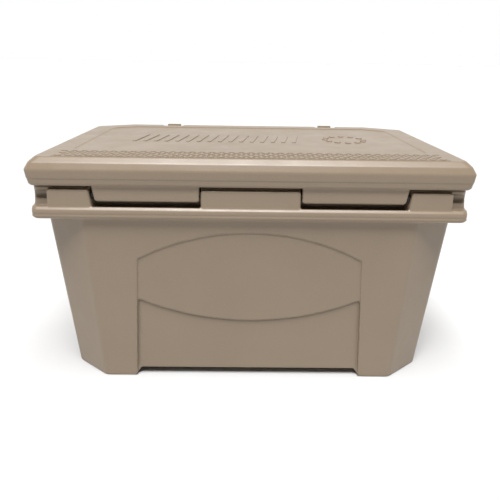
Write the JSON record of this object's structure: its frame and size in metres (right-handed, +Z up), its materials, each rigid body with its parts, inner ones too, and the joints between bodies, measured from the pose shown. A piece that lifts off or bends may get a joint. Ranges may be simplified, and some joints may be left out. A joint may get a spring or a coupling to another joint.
{
  "type": "cooler chest",
  "caption": "Rectangular hard-sided insulated chest with a foam-filled hinged lid, rod hinge, rubber latches, arched wall recesses, corner feet and a drain plug.",
  "frame": {"origin": "on the floor under the centre of the chest's bounding box", "axes": "+X along the length, with the drain at the +X end; +Y towards the latches, so the hinge side faces -Y; +Z up"},
  "size_m": [0.667, 0.42, 0.3781],
  "materials": {
    "shell_plastic": "matte",
    "foam": "matte",
    "latch_rubber": "matte",
    "seal_rubber": "matte",
    "steel": "satin",
    "dark_plastic": "satin"
  },
  "bodies": {
    "chest": {"body_shell": "shell_plastic", "body_foam": "foam", "body_fill_plugs": "shell_plastic", "drain_fitting": "dark_plastic", "drain_washer": "seal_rubber", "drain_nut": "dark_plastic", "hinge_rod": "steel", "hinge_rod_cap_left": "dark_plastic", "hinge_rod_cap_right": "dark_plastic", "latch_bracket_left": "dark_plastic", "latch_bracket_right": "dark_plastic", "latch_pin_left": "steel", "latch_pin_right": "steel", "latch_screws_left": "steel", "latch_screws_right": "steel", "foot_pad_front_left": "seal_rubber", "foot_pad_front_right": "seal_rubber", "foot_pad_rear_left": "seal_rubber", "foot_pad_rear_right": "seal_rubber"},
    "lid": {"lid_shell": "shell_plastic", "lid_foam": "foam", "lid_fill_plugs": "shell_plastic", "lid_gasket": "seal_rubber", "hinge_sleeve_left": "dark_plastic", "hinge_sleeve_right": "dark_plastic"},
    "left_latch": {"latch_left": "latch_rubber"},
    "right_latch": {"latch_right": "latch_rubber"},
    "drain_seal_ring": {"drain_plug_seal": "seal_rubber"},
    "drain_screw_plug": {"drain_plug": "dark_plastic"}
  },
  "joints": [
    {"name": "lid_hinge", "type": "hinge", "parent": "chest", "child": "lid", "pos_m": [0, -0.1905, 0.3185], "axis": [1, 0, 0], "range_deg": [0, 95]},
    {"name": "left_latch_swing", "type": "hinge", "parent": "chest", "child": "left_latch", "pos_m": [-0.166, 0.1935, 0.248], "axis": [-1, 0, 0], "range_deg": [0, 160], "deforming": ["latch_left"]},
    {"name": "right_latch_swing", "type": "hinge", "parent": "chest", "child": "right_latch", "pos_m": [0.166, 0.1935, 0.248], "axis": [-1, 0, 0], "range_deg": [0, 160], "deforming": ["latch_right"]},
    {"name": "drain_plug_travel", "type": "slide", "parent": "chest", "child": "drain_seal_ring", "axis": [1, 0, 0], "range_m": [0, 0.012]},
    {"name": "drain_plug_turn", "type": "hinge", "parent": "drain_seal_ring", "child": "drain_screw_plug", "pos_m": [0.288, -0.0035, 0.06], "axis": [1, 0, 0], "range_deg": [0, 1080]}
  ],
  "couplings": [
    {"joint": "drain_plug_travel", "follows": "drain_plug_turn", "m_per_rad": 0.00063662}
  ]
}
